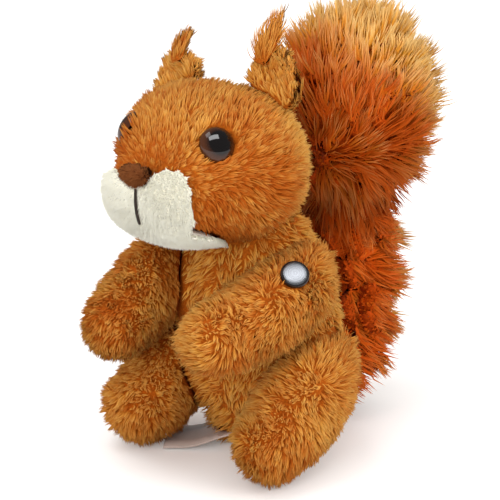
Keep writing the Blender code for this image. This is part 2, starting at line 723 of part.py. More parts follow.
def brush_fur(built):
    locks(
        built,
        [face for face in built.faces if face.normal.y > -0.6],
        fur_length,
        lambda middle, normal: Vector((0, 0.25, -0.2)),
        seed=11,
    )


def plume_fur(built):
    locks(
        built,
        [face for face in built.faces if face.normal.y > -0.9],
        fur_length,
        lambda middle, normal: Vector((0, (middle.z - PLUME_LEVEL), -(middle.y - PLUME_BACK))) / PLUME_LENGTH,
        seed=12,
    )


tail = place_object("tail", plume_bag.mesh("tail", PLUME_SIDES, PLUME_RINGS, shape=plume_fur), tail_fur)
brush_mesh = brush_bag.mesh("tail_brush_form", BRUSH_SIDES, BRUSH_RINGS, shape=brush_fur)
brush = place_object("tail_brush_form", brush_mesh, helper=True)
combine(tail, brush, "UNION", "MANIFOLD")
trim(tail, torso_seam, head_seam, floor_block, solver="MANIFOLD")

# A small metal button is pinned through the left shoulder; its face is plain brushed tin in a dark rim


def badge_profile(grow):
    """The button's case and pin, larger by grow: a shallow dish on a stem."""
    radius, stem = BADGE_DIAMETER / 2, BADGE_PIN_DIAMETER / 2
    return [
        (0, -BADGE_PIN_LENGTH - grow),
        (stem + grow, -BADGE_PIN_LENGTH - grow),
        (stem + grow, -grow),
        (radius - BADGE_HEIGHT * 0.2 + grow, -grow),
        (radius + grow, BADGE_HEIGHT * 0.27),
        (radius + grow, BADGE_HEIGHT * 0.77),
        (radius - BADGE_HEIGHT * 0.23 + grow, BADGE_HEIGHT + grow),
    ]


badge_case = turned(
    "badge_case",
    badge_profile(0.0)
    + [
        (BADGE_DIAMETER / 2 - BADGE_RIM, BADGE_HEIGHT),
        (BADGE_DIAMETER / 2 - BADGE_RIM, BADGE_HEIGHT - BADGE_RECESS),
        (0, BADGE_HEIGHT - BADGE_RECESS),
    ],
    badge_steel,
)
face_radius = BADGE_DIAMETER / 2 - BADGE_RIM - FIT_GAP
face_floor = BADGE_HEIGHT - BADGE_RECESS + FIT_GAP
badge_face = turned(
    "badge_face",
    [
        (0, face_floor),
        (face_radius, face_floor),
        (face_radius, face_floor + BADGE_HEIGHT * 0.27),
        (face_radius * 0.6, face_floor + BADGE_HEIGHT * 0.4),
        (0, face_floor + BADGE_HEIGHT * 0.45),
    ],
    badge_tin,
)
badge_socket = turned("badge_socket", badge_profile(FIT_GAP) + [(0, BADGE_HEIGHT + FIT_GAP)], helper=True)
clasp_inner, clasp_outer = BADGE_PIN_DIAMETER / 2 + FIT_GAP, CLASP_DIAMETER / 2
clasp_top = -BADGE_PIN_LENGTH * 0.36
clasp_bottom = clasp_top - CLASP_THICKNESS
badge_clasp = ring("badge_clasp", clasp_inner, clasp_outer, clasp_top, clasp_bottom, badge_steel)
clasp_pocket = turned(
    "clasp_pocket",
    [
        (0, clasp_bottom - FIT_GAP),
        (clasp_outer + FIT_GAP, clasp_bottom - FIT_GAP),
        (clasp_outer + FIT_GAP, clasp_top + FIT_GAP),
        (0, clasp_top + FIT_GAP),
    ],
    helper=True,
)
badge_point, badge_normal = arm_bags["left"].surface(BADGE_PLACE, BADGE_ROUND)
badge_normal.rotate(Matrix.Rotation(math.radians(-BADGE_TURN), 3, "Z"))
for piece in (badge_case, badge_face, badge_socket, badge_clasp, clasp_pocket):
    stand_on(piece, badge_point - badge_normal * BADGE_HEIGHT * 0.4, badge_normal)
trim(bpy.data.objects["arm_left"], badge_socket, clasp_pocket, solver="MANIFOLD")

# The sewn-in tag: a bare satin tape from under the belly down to the floor
tag_root = Vector((TORSO_WIDTH * 0.04, TORSO_DEPTH * 0.04, TAG_ROOT_LEVEL))
tag_path = [
    tag_root,
    Vector((tag_root.x - TAG_LENGTH * 0.3, tag_root.y - TAG_LENGTH * 0.2, TAG_ROOT_LEVEL * 0.56)),
    Vector((tag_root.x - TAG_LENGTH * 0.55, tag_root.y - TAG_LENGTH * 0.37, TAG_LIFT * 2)),
    Vector((tag_root.x - TAG_LENGTH * 0.8, tag_root.y - TAG_LENGTH * 0.55, TAG_LIFT)),
]


def tape(name, path, width, thickness, steps, material):
    """A flat tape of one width and thickness whose underside's middle follows the path."""
    built = bmesh.new()
    rows = []
    for i in range(steps + 1):
        t = i / steps
        run = smooth_along(path, min(t + 0.01, 1)) - smooth_along(path, max(t - 0.01, 0))
        side = Vector((run.y, -run.x, 0)).normalized() * width / 2
        rise = side.cross(run).normalized() * thickness
        if rise.z < 0:
            rise.negate()
        middle = smooth_along(path, t)
        corners = (middle - side, middle + side, middle + side + rise, middle - side + rise)
        rows.append([built.verts.new(corner) for corner in corners])
    built.faces.new(rows[0])
    built.faces.new(rows[-1])
    for row, after in zip(rows, rows[1:]):
        for i in range(4):
            built.faces.new((row[i], row[(i + 1) % 4], after[(i + 1) % 4], after[i]))
    built.normal_update()
    bmesh.ops.recalc_face_normals(built, faces=built.faces)
    bmesh.ops.triangulate(built, faces=built.faces)
    mesh = bpy.data.meshes.new(name)
    built.to_mesh(mesh)
    built.free()
    return place_object(name, mesh, material)


tag = tape("sewn_tag", tag_path, TAG_WIDTH, TAG_THICKNESS, 8, tag_satin)
leg_seam = place_object(
    "leg_seam", leg_bags["right"].mesh("leg_seam", LIMB_SIDES, LIMB_RINGS, FIT_GAP), helper=True
)
trim(tag, torso_seam, leg_seam, solver="MANIFOLD")
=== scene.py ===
"""The look of a sitting plush squirrel: backing cloth, pile, long fur, safety eyes and a metal button.

It faces -Y, +Z is up, its left side is +X, and every size is in metres.
"""

import json
import math

import bpy
import numpy as np
from mathutils import Matrix, Vector
from mathutils.bvhtree import BVHTree
from mathutils.kdtree import KDTree

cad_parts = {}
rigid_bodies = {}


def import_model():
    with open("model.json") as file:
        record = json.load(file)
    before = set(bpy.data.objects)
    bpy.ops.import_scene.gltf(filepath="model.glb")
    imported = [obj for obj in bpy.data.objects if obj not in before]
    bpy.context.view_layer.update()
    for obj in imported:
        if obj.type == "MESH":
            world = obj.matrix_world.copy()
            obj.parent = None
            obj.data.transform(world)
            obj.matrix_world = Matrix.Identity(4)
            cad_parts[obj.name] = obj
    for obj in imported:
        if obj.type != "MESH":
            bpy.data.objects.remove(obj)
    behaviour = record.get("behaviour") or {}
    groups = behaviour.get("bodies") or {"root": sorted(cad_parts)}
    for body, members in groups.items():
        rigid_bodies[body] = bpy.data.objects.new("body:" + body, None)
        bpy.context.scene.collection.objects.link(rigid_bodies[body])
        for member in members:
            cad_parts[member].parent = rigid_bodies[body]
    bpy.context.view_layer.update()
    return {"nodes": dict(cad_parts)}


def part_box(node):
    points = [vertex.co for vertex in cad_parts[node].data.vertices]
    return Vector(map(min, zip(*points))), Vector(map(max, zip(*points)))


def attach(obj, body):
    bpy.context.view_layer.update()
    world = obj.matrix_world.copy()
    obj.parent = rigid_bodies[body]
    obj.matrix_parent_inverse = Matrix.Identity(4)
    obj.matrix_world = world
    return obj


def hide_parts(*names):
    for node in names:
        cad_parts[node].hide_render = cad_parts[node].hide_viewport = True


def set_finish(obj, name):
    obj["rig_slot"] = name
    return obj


for startup in list(bpy.data.objects):
    bpy.data.objects.remove(startup, do_unlink=True)
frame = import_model()
nodes = frame["nodes"]
MM = 0.001

# Camera: in front of the toy's left side, a little above it, with a long lens
CAMERA_TURN = math.radians(39.7)
CAMERA_RISE = math.radians(16.6)
CAMERA_DISTANCE = 0.6
AIM_FORWARD = 5.35 * MM  # from the middle of the torso
AIM_LEVEL = 60 * MM
CAMERA_AIM = Vector((0, (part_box("torso")[0].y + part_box("torso")[1].y) / 2 - AIM_FORWARD, AIM_LEVEL))
FRAME_WIDTH = 145 * MM  # what the frame takes in at the toy
towards_camera = Vector(
    (
        math.sin(CAMERA_TURN) * math.cos(CAMERA_RISE),
        -math.cos(CAMERA_TURN) * math.cos(CAMERA_RISE),
        math.sin(CAMERA_RISE),
    )
)
bpy.ops.object.camera_add(location=CAMERA_AIM + towards_camera * CAMERA_DISTANCE)
camera = bpy.context.object
camera.rotation_euler = towards_camera.to_track_quat("Z", "Y").to_euler()
camera.data.sensor_width = 36
camera.data.lens = camera.data.sensor_width * CAMERA_DISTANCE / FRAME_WIDTH
camera.data.clip_end = 20
bpy.context.scene.camera = camera
bpy.context.scene.view_settings.view_transform = "Standard"

# Studio: a white table that shows as white to the camera but still takes the toy's shadow, a bright
# even room that is dimmer where it is mirrored, weak lamps overhead, in front and at the side, and a
# softbox that is seen only in the gloss of the eyes and the metal
TABLE_REACH = 8.0
SHADOW_DEPTH = 0.95  # the share of the table's white that comes from the lamps
bpy.ops.mesh.primitive_plane_add(size=TABLE_REACH, location=(0, 0, -0.2 * MM))
table = bpy.context.object
table.name = "table"
white_table = bpy.data.materials.new("white_table")
white_table.use_nodes = True
tree = white_table.node_tree
tree.nodes.clear()
seen = tree.nodes.new("ShaderNodeLightPath")
lit_share = tree.nodes.new("ShaderNodeBsdfDiffuse")
lit_share.inputs["Color"].default_value = (SHADOW_DEPTH, SHADOW_DEPTH * 0.99, SHADOW_DEPTH * 0.98, 1)
# The table's own glow is warm, so its shadows take a brown tint, a painted bounce of light from the fur.
own_share = tree.nodes.new("ShaderNodeEmission")
own_share.inputs["Color"].default_value = (1, 0.9, 0.82, 1)
own_share.inputs["Strength"].default_value = 1.06 - SHADOW_DEPTH
shown = tree.nodes.new("ShaderNodeAddShader")
plain = tree.nodes.new("ShaderNodeBsdfDiffuse")
plain.inputs["Color"].default_value = (0.8, 0.8, 0.8, 1)
chosen = tree.nodes.new("ShaderNodeMixShader")
table_output = tree.nodes.new("ShaderNodeOutputMaterial")
tree.links.new(lit_share.outputs[0], shown.inputs[0])
tree.links.new(own_share.outputs[0], shown.inputs[1])
tree.links.new(seen.outputs["Is Camera Ray"], chosen.inputs[0])
tree.links.new(plain.outputs[0], chosen.inputs[1])
tree.links.new(shown.outputs[0], chosen.inputs[2])
tree.links.new(chosen.outputs[0], table_output.inputs[0])
table.data.materials.append(white_table)

ROOM_LEVEL = 1.1
MIRRORED_ROOM = 0.3
room = bpy.data.worlds.new("room")
bpy.context.scene.world = room
room.use_nodes = True
tree = room.node_tree
tree.nodes.clear()
seen = tree.nodes.new("ShaderNodeLightPath")
level = tree.nodes.new("ShaderNodeMapRange")
level.inputs["To Min"].default_value = ROOM_LEVEL
level.inputs["To Max"].default_value = MIRRORED_ROOM
air = tree.nodes.new("ShaderNodeBackground")
room_output = tree.nodes.new("ShaderNodeOutputWorld")
tree.links.new(seen.outputs["Is Glossy Ray"], level.inputs["Value"])
tree.links.new(level.outputs["Result"], air.inputs["Strength"])
tree.links.new(air.outputs[0], room_output.inputs[0])

LAMPS = {  # place, width and depth, and watts
    "overhead": ((-0.35, -0.6, 2.2), (1.2, 0.9), 11),
    "front": ((0.9, -1.9, 0.9), (1.3, 1.3), 27),
    "side": ((1.9, 0.2, 0.9), (1.2, 1.2), 17),
    "softbox": ((0.5, -0.25, 1.15), (0.9, 0.4), 9),
}
for lamp_name, (place, size, watts) in LAMPS.items():
    bpy.ops.object.light_add(type="AREA", location=place)
    lamp = bpy.context.object
    lamp.name = lamp_name
    lamp.data.shape = "RECTANGLE"
    lamp.data.size, lamp.data.size_y = size
    lamp.data.energy = watts
    lamp.rotation_euler = (Vector(place) - CAMERA_AIM).to_track_quat("Z", "Y").to_euler()
    lamp.visible_diffuse = lamp_name != "softbox"
    lamp.visible_glossy = lamp_name not in ("front", "side")

# Head: a stuffed bag of brown plush, sewn to the neck. Plush is a knitted backing with the pile standing
# out of it, so each plush piece is made as a sunk backing and a coat of separate tapering locks.
SIDES = {"left": 1, "right": -1}
MIX_FIRST, MIX_SECOND, MIX_RESULT = 6, 7, 2  # a Mix node's colour sockets
LOCK_PARTS = ("root", "middle", "tip")
KNIT_SCALE = 1400
KNIT_RELIEF = 0.3 * MM


def new_effect(name, inputs, outputs):
    """An empty node group with these sockets and their kinds, and its input and output nodes."""
    effect = bpy.data.node_groups.new(name, "ShaderNodeTree")
    for way, sockets in (("INPUT", inputs), ("OUTPUT", outputs)):
        for socket, kind in sockets.items():
            effect.interface.new_socket(socket, in_out=way, socket_type=f"NodeSocket{kind}")
    return effect, effect.nodes.new("NodeGroupInput"), effect.nodes.new("NodeGroupOutput")


def mixed(tree, share, first, second):
    """The colour that lies between two others, by a share from 0 to 1."""
    blend = tree.nodes.new("ShaderNodeMix")
    blend.data_type = "RGBA"
    tree.links.new(share, blend.inputs["Factor"])
    tree.links.new(first, blend.inputs[MIX_FIRST])
    tree.links.new(second, blend.inputs[MIX_SECOND])
    return blend.outputs[MIX_RESULT]


def stretched(tree, value, low, high):
    """A value turned into a share: 0 at low and below it, 1 at high and above it."""
    span = tree.nodes.new("ShaderNodeMapRange")
    span.inputs["From Min"].default_value = low
    span.inputs["From Max"].default_value = high
    tree.links.new(value, span.inputs["Value"])
    return span.outputs["Result"]


def dressed_in(name, effect, values, roughness, specular=0.5, metallic=0.0):
    """A material with the colour, and the relief if there is one, of an effect set to these values."""
    material = bpy.data.materials.new(name)
    material.use_nodes = True
    tree = material.node_tree
    shader = tree.nodes["Principled BSDF"]
    placed = tree.nodes.new("ShaderNodeGroup")
    placed.name = effect.name
    placed.node_tree = effect
    for socket, value in values.items():
        placed.inputs[socket].default_value = value
    tree.links.new(placed.outputs["Color"], shader.inputs["Base Color"])
    if "Normal" in placed.outputs:
        tree.links.new(placed.outputs["Normal"], shader.inputs["Normal"])
    shader.inputs["Roughness"].default_value = roughness
    shader.inputs["Specular IOR Level"].default_value = specular
    shader.inputs["Metallic"].default_value = metallic
    return material


knit, given, made = new_effect(
    "knit", {"Loop": "Color", "Shaded Gap": "Color"}, {"Color": "Color", "Normal": "Vector"}
)
place = knit.nodes.new("ShaderNodeTexCoord")
loops = knit.nodes.new("ShaderNodeTexVoronoi")
loops.inputs["Scale"].default_value = KNIT_SCALE
relief = knit.nodes.new("ShaderNodeBump")
relief.inputs["Strength"].default_value = 0.5
relief.inputs["Distance"].default_value = KNIT_RELIEF
relief.invert = True
knit.links.new(place.outputs["Object"], loops.inputs["Vector"])
# The gaps between the loops take the darker colour, as painted shade.
loop_colour = mixed(knit, loops.outputs["Distance"], given.outputs["Loop"], given.outputs["Shaded Gap"])
knit.links.new(loop_colour, made.inputs["Color"])
knit.links.new(loops.outputs["Distance"], relief.inputs["Height"])
knit.links.new(relief.outputs["Normal"], made.inputs["Normal"])

locks, given, made = new_effect(
    "locks",
    {"Map": "Vector"} | {f"{tone} {part}": "Color" for tone in ("Dark", "Light") for part in LOCK_PARTS},
    {"Color": "Color"},
)
axes = locks.nodes.new("ShaderNodeSeparateXYZ")
locks.links.new(given.outputs["Map"], axes.inputs["Vector"])
root_half = stretched(locks, axes.outputs["Y"], 0, 0.5)
tip_half = stretched(locks, axes.outputs["Y"], 0.5, 1)
tones = []
for tone in ("Dark", "Light"):
    root, middle, tip = (given.outputs[f"{tone} {part}"] for part in LOCK_PARTS)
    tones.append(mixed(locks, tip_half, mixed(locks, root_half, root, middle), tip))
locks.links.new(mixed(locks, axes.outputs["X"], *tones), made.inputs["Color"])


def backing_material(name, colour):
    """Knitted backing in the colour of the pile's roots, its loops paler than the gaps between them,
    where shade is painted.
    """
    loop, shaded_gap = [c * 1.15 for c in colour], [c * 0.6 for c in colour]
    return dressed_in(name, knit, {"Loop": (*loop, 1), "Shaded Gap": (*shaded_gap, 1)}, roughness=0.95, specular=0.1)


def pile_material(name, dark, light, roughness=0.75):
    """Fur whose colour runs from root to tip along the map's V, and from dark to light locks along its U.

    dark and light are the root, middle and tip colours of the darkest and the lightest lock. Darker roots
    and paler tips are partly the fur's own colour, and partly painted shade down among the locks and
    painted light on the tips.
    """
    values = {
        f"{tone} {part}": (*colour, 1)
        for tone, colours in (("Dark", dark), ("Light", light))
        for part, colour in zip(LOCK_PARTS, colours)
    }
    material = dressed_in(name, locks, values, roughness, specular=0.1)
    tree = material.node_tree
    lock_map = tree.nodes.new("ShaderNodeUVMap")
    lock_map.uv_map = "OFBake"
    tree.links.new(lock_map.outputs["UV"], tree.nodes[locks.name].inputs["Map"])
    return material


PILE_SINK = 2.5 * MM
RAY_START = 1 * MM  # how far under the cloth a ray towards the other pieces starts
SEAM_REACH = 2.5 * MM  # within this along the ray, the cloth is sewn against another piece
REST_LEVEL = 1.5 * MM  # below this, cloth that faces down rests on the table
ROOT_DEPTH = 0.6 * MM  # how far under the cloth a lock starts
TABLE_GAP = 0.3 * MM  # no lock goes lower than this


def others_than(own):
    """All the toy's solids but the named ones, as one tree to cast rays at."""
    points, faces = [], []
    for name, node in nodes.items():
        if name in own:
            continue
        start = len(points)
        points += [v.co.copy() for v in node.data.vertices]
        faces += [[start + i for i in face.vertices] for face in node.data.polygons]
    return BVHTree.FromPolygons(points, faces)


def cloth_over(name, own, sink, grain, material, slot, filled=(), rounding=5):
    """The backing of a stuffed piece: its solids made one, rounded off, and sunk by the pile's depth.

    Only its outer skin is kept. It isn't sunk where it is sewn against another piece, and only a little
    where it rests on the table. filled are solids that sit in it, which it closes over.
    """
    bpy.ops.object.select_all(action="DESELECT")
    for node_name in (*own, *filled):
        copy = bpy.data.objects.new(name, nodes[node_name].data.copy())
        bpy.context.scene.collection.objects.link(copy)
        copy.select_set(True)
        bpy.context.view_layer.objects.active = copy
    if len(own) + len(filled) > 1:
        bpy.ops.object.join()
    cloth = bpy.context.object
    cloth.name = name
    bpy.ops.object.mode_set(mode="EDIT")
    bpy.ops.mesh.select_all(action="SELECT")
    bpy.ops.mesh.remove_doubles(threshold=0.001 * MM)
    bpy.ops.object.mode_set(mode="OBJECT")
    remesh = cloth.modifiers.new("even", "REMESH")
    remesh.mode = "VOXEL"
    remesh.voxel_size = grain
    bpy.ops.object.modifier_apply(modifier=remesh.name)
    bpy.ops.object.mode_set(mode="EDIT")
    bpy.ops.mesh.select_all(action="SELECT")
    bpy.ops.mesh.separate(type="LOOSE")
    bpy.ops.object.mode_set(mode="OBJECT")
    shells = sorted(bpy.context.selected_objects, key=lambda shell: len(shell.data.vertices))
    for hollow in shells[:-1]:
        bpy.data.objects.remove(hollow, do_unlink=True)
    cloth = shells[-1]
    bpy.context.view_layer.objects.active = cloth
    soften = cloth.modifiers.new("soften", "SMOOTH")
    soften.iterations = rounding
    bpy.ops.object.modifier_apply(modifier=soften.name)
    neighbours = others_than((*own, *filled))
    mesh = cloth.data
    free = np.ones(len(mesh.vertices))
    for vertex in mesh.vertices:
        if neighbours.ray_cast(vertex.co - vertex.normal * RAY_START, vertex.normal, SEAM_REACH)[0]:
            free[vertex.index] = 0
        elif vertex.co.z < REST_LEVEL and vertex.normal.z < -0.5:
            free[vertex.index] = 0.25
    edges = np.empty(len(mesh.edges) * 2, np.int32)
    mesh.edges.foreach_get("vertices", edges)
    ends = edges.reshape(-1, 2)
    degree = np.bincount(edges, minlength=len(free))
    for _ in range(3):
        total = np.bincount(ends[:, 0], free[ends[:, 1]], len(free)) + np.bincount(
            ends[:, 1], free[ends[:, 0]], len(free)
        )
        free = (free + total / degree) / 2
    for vertex, share in zip(mesh.vertices, free):
        vertex.co = vertex.co - vertex.normal * (sink * float(share))
    soften = cloth.modifiers.new("soften", "SMOOTH")
    soften.iterations = 3
    bpy.ops.object.modifier_apply(modifier=soften.name)
    mesh.shade_smooth()
    mesh.materials.clear()
    mesh.materials.append(material)
    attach(cloth, "root")
    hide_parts(*own)
    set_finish(cloth, slot)
    return cloth


def scattered(cloth, count, chance):
    """Points spread evenly at random over a cloth, and the cloth's normals there."""
    mesh = cloth.data
    mesh.calc_loop_triangles()
    corners = np.empty(len(mesh.loop_triangles) * 3, np.int32)
    mesh.loop_triangles.foreach_get("vertices", corners)
    corners = corners.reshape(-1, 3)
    points = np.empty(len(mesh.vertices) * 3)
    mesh.vertices.foreach_get("co", points)
    normals = np.empty(len(mesh.vertices) * 3)
    mesh.vertices.foreach_get("normal", normals)
    points, normals = points.reshape(-1, 3), normals.reshape(-1, 3)
    a, b, c = (points[corners[:, i]] for i in range(3))
    area = np.linalg.norm(np.cross(b - a, c - a), axis=1)
    chosen = chance.choice(len(area), count, p=area / area.sum())
    u, v = chance.random((2, count, 1))
    over = u + v > 1
    u, v = np.where(over, 1 - u, u), np.where(over, 1 - v, v)
    picked = corners[chosen]
    place = a[chosen] * (1 - u - v) + b[chosen] * u + c[chosen] * v
    facing = normals[picked[:, 0]] * (1 - u - v) + normals[picked[:, 1]] * u + normals[picked[:, 2]] * v
    return place, unit(facing)


def unit(vectors):
    """The vectors at a length of one."""
    return vectors / np.maximum(np.linalg.norm(vectors, axis=1, keepdims=True), 1e-12)


def along_cloth(flow, normals):
    """The part of a flow that lies in the cloth."""
    return flow - normals * (flow * normals).sum(1, keepdims=True)


def away_from(x, y, z, strength):
    """A lay that strokes the pile away from one point of the cloth, which is given in millimetres."""
    start = np.array((x, y, z)) * MM

    def lay(points, normals):
        """Away from the point."""
        return along_cloth(unit(points - start), normals) * strength

    return lay


def brushed(x, y, z):
    """A lay that strokes the whole coat one way."""

    def lay(points, normals):
        """Along the cloth, the same way everywhere."""
        return along_cloth(np.tile((x, y, z), (len(points), 1)), normals)

    return lay


def evenly(value):
    """The same length or tone all over a coat."""
    return lambda points, normals: np.full(len(points), value)


def wander(points, size, chance):
    """A direction that turns slowly from place to place, as pile lies in swirls once it is handled."""
    waves = chance.normal(0, 1, (8, 3)) / size
    amounts = chance.normal(0, 0.5, (8, 3))
    return sum(
        np.sin(points @ wave + phase)[:, None] * amount
        for wave, phase, amount in zip(waves, chance.uniform(0, 2 * math.pi, 8), amounts)
    )


def fur(
    name, cloth, own, count, length, width, lay, material, seed,
    bends=2, tuft=6, gather=0.55, stray=0.16, swirl=0.3, tone=evenly(0.5), clear=1.5 * MM, sunk=PILE_SINK,
    soft=0.6, facing=None, edged=False, where=None, spare=None, mottle=1.0,
):
    """A coat of closed three-sided locks that taper from the cloth to a point.

    length, lay and tone take the roots and the normals there. Each lock leans over as lay says, swirl and
    stray turn it from its neighbours, and gather draws each lock of a tuft to the tuft's middle, as pile
    lies once it is handled. No lock stands where another piece is nearer than clear, and own are the
    pieces that don't count. soft is how far a lock is shaded as the coat and not as a round hair, and
    mottle how far locks differ in tone. facing gives the coat's normals, along which the locks of an
    edged panel stand. where picks the roots, and spare names the points that no lock may reach.
    """
    chance = np.random.default_rng(seed)
    roots, normals = scattered(cloth, count * (5 if where else 3), chance)
    coat_normals = facing(roots, normals) if facing else normals
    neighbours = others_than(own)
    clear_way = sunk + clear + RAY_START
    bare = np.array([
        neighbours.ray_cast(Vector(p) - Vector(n) * RAY_START, Vector(n), clear_way)[0] is None
        for p, n in zip(roots, normals)
    ])
    if edged:
        bare &= (coat_normals * normals).sum(1) > 0.1
        normals = coat_normals
    if where:
        bare &= where(roots)
    keep = np.flatnonzero(bare)[: round(count * 1.25) if spare else count]
    roots, normals, coat_normals = roots[keep], normals[keep], coat_normals[keep]
    reach = length(roots, normals).reshape(-1, 1) * chance.uniform(0.8, 1.15, (len(roots), 1))
    flow = lay(roots, normals)
    turned = wander(roots, 6 * MM, chance) + wander(roots, 2 * MM, chance) * 0.6
    flow = flow + along_cloth(turned, normals) * swirl
    noise = chance.normal(0, stray, (len(roots), 3))
    centres = np.arange(0, len(roots), tuft)
    tree = KDTree(len(centres))
    for i, centre in enumerate(centres):
        tree.insert(roots[centre], i)
    tree.balance()
    nearest = np.array([tree.find(root)[1] for root in roots])
    leader = centres[nearest]
    lines = [roots - normals * ROOT_DEPTH]
    for bend in range(1, bends + 1):
        share = bend / bends
        way = unit(normals + flow * (0.35 + 0.75 * share) + noise * (0.4 + share))
        lines.append(lines[-1] + way * reach / bends)
    lines = np.array(lines)
    for bend in range(1, bends + 1):
        share = bend / bends
        pull = (lines[bend][leader] - lines[bend]) * gather * share**1.5
        lines[bend] += pull
    lines[:, :, 2] = np.maximum(lines[:, :, 2], TABLE_GAP)
    if spare:
        reaching = np.zeros(len(roots), bool)
        for start, end in zip(lines[:-1], lines[1:]):
            reaching |= spare((start + end) / 2) | spare(end)
        left = np.flatnonzero(~reaching)[:count]
        lines, nearest = lines[:, left], nearest[left]
        roots, normals, coat_normals = roots[left], normals[left], coat_normals[left]
    count = len(roots)
    along = unit(lines[-1] - lines[0])
    side = unit(np.cross(along, unit(chance.normal(0, 1, (count, 3)))))
    other = np.cross(along, side)
    thick = width * chance.uniform(0.8, 1.2, (count, 1)) / 2
    rows, turned_out = [], []
    for bend in range(bends):
        taper = (1 - bend / bends) ** 0.4
        for corner in range(3):
            turn = corner * 2 * math.pi / 3
            out = side * math.cos(turn) + other * math.sin(turn)
            rows.append(lines[bend] + out * thick * taper)
            turned_out.append(unit(coat_normals * soft + out * (1 - soft)))
    rows.append(lines[-1])
    turned_out.append(unit(coat_normals + along * (1 - soft)))
    each = 3 * bends + 1
    points = np.stack(rows, axis=1).reshape(-1, 3)
    faces, map_u, map_v = [(0, 2, 1)], [(0, 2, 1)], [(0.0, 0.0, 0.04)]
    for bend in range(bends):
        low, high = bend / bends, (bend + 1) / bends
        for corner in range(3):
            i, j = bend * 3 + corner, bend * 3 + (corner + 1) % 3
            if bend < bends - 1:
                faces += [(i, j, j + 3), (i, j + 3, i + 3)]
                map_u += [(corner, corner + 1, corner + 1), (corner, corner + 1, corner)]
                map_v += [(low, low, high), (low, high, high)]
            else:
                faces.append((i, j, 3 * bends))
                map_u.append((corner, corner + 1, corner + 0.5))
                map_v.append((low, low, high))
    faces = (np.array(faces)[None] + (np.arange(count) * each)[:, None, None]).reshape(-1, 3)
    shade = tone(roots, normals)
    tuft_shade = chance.normal(0, 0.17, len(centres))[nearest]
    shade = shade + (tuft_shade + chance.normal(0, 0.12, count)) * mottle
    shade = shade + wander(roots, 5 * MM, chance)[:, 0] * 0.1 * mottle
    shade = np.clip(shade, 0.0, 1.0) * 0.94
    u = shade[:, None, None] + np.array(map_u)[None] * 0.02
    v = np.broadcast_to(np.array(map_v)[None], u.shape)
    mesh = bpy.data.meshes.new(name)
    mesh.vertices.add(len(points))
    mesh.vertices.foreach_set("co", points.ravel())
    mesh.loops.add(faces.size)
    mesh.loops.foreach_set("vertex_index", faces.ravel())
    mesh.polygons.add(len(faces))
    mesh.polygons.foreach_set("loop_start", np.arange(0, faces.size, 3))
    mesh.update(calc_edges=True)
    layer = mesh.uv_layers.new(name="OFBake")
    layer.data.foreach_set("uv", np.stack((u, v), axis=-1).ravel())
    mesh.shade_smooth()
    mesh.normals_split_custom_set_from_vertices(np.stack(turned_out, axis=1).reshape(-1, 3))
    mesh.materials.append(material)
    coat = bpy.data.objects.new(name, mesh)
    bpy.context.scene.collection.objects.link(coat)
    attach(coat, "root")
    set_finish(coat, cloth["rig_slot"])
    return coat


def corners_of(node):
    """The separate corners of a CAD node."""
    found = {tuple(round(c, 7) for c in v.co) for v in nodes[node].data.vertices}
    return [Vector(corner) for corner in sorted(found)]


def axis_of(outer, inner):
    """The middle of the round node outer, the way to it from the node inner, and its reach that way."""
    outer_corners, inner_corners = corners_of(outer), corners_of(inner)
    middle = sum(outer_corners, Vector()) / len(outer_corners)
    way = (middle - sum(inner_corners, Vector()) / len(inner_corners)).normalized()
    return middle, way, max((corner - middle).dot(way) for corner in outer_corners)


brown_backing = backing_material("brown_backing", (0.4, 0.09, 0.006))
brown_pile = pile_material(
    "brown_pile",
    dark=((0.33, 0.052, 0.0022), (0.38, 0.072, 0.0035), (0.45, 0.107, 0.008)),
    light=((0.48, 0.13, 0.008), (0.62, 0.26, 0.037), (0.76, 0.41, 0.1)),
)
head_low, head_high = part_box("head")
nose_tip = np.array((0, head_low.y * 1000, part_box("nose")[0].z * 1000))
head_cloth = cloth_over(
    "head_cloth", ["head"], PILE_SINK, 2 * MM, brown_backing, "brown_plush",
    filled=("eye_left", "eye_right", "eye_washer_left", "eye_washer_right"),
)
SOCKET_RADIUS = 5 * MM
SOCKET_DEPTH = 2 * MM
eye_middles = []
for side_name in SIDES:
    socket_middle, socket_way, _ = axis_of(f"eye_{side_name}", f"eye_washer_{side_name}")
    eye_middles.append(socket_middle)
    for vertex in head_cloth.data.vertices:
        away = vertex.co - socket_middle
        height = away.dot(socket_way)
        if height > -SOCKET_DEPTH and (away - socket_way * height).length < SOCKET_RADIUS:
            vertex.co = vertex.co - socket_way * (height + SOCKET_DEPTH)
head_middle = np.array((head_low + head_high) / 2)
head_reach = np.array((head_high - head_low) / 2)


def head_length(points, normals):
    """Short by the nose, longer over the forehead and the cheeks, and longest round the eyes."""
    back = np.clip((points[:, 1] - head_low.y) / (head_high.y - head_low.y), 0, 1)
    round_eyes = sum(
        np.exp(-((np.linalg.norm(points - np.array(middle), axis=1) / (7 * MM)) ** 2))
        * (points[:, 1] < middle.y + MM)
        * (2.2 if middle.x > 0 else 4.2)
        for middle in eye_middles
    )
    return (2.0 + 2.1 * np.clip(back * 2.2, 0, 1) + round_eyes) * MM


def head_facing(points, normals):
    """The way the whole head faces, with the muzzle let into it."""
    return unit((points - head_middle) / head_reach**2)


def head_tone_and_painted_light(points, normals):
    """Paler over the forehead and behind, as painted light from above and from the right, where the tips
    are also seen, and deeper on the cheeks, as painted shade.
    """
    back = np.clip((points[:, 1] - head_middle[1] - 2 * MM) / (12 * MM), 0, 1)
    up = np.clip((points[:, 2] - head_middle[2] + 2 * MM) / (16 * MM), 0, 1)
    return 0.08 + 0.8 * back + 0.45 * up


def over_disc(middle, way, radius):
    """Tells the points in front of a round piece."""
    middle, way = np.array(middle), np.array(way)

    def found(points):
        """Nearer its axis than its radius, and not behind it."""
        away = points - middle
        height = away @ way
        from_axis = np.linalg.norm(away - height[:, None] * way, axis=1)
        return (height > -3 * MM) & (from_axis < radius)

    return found


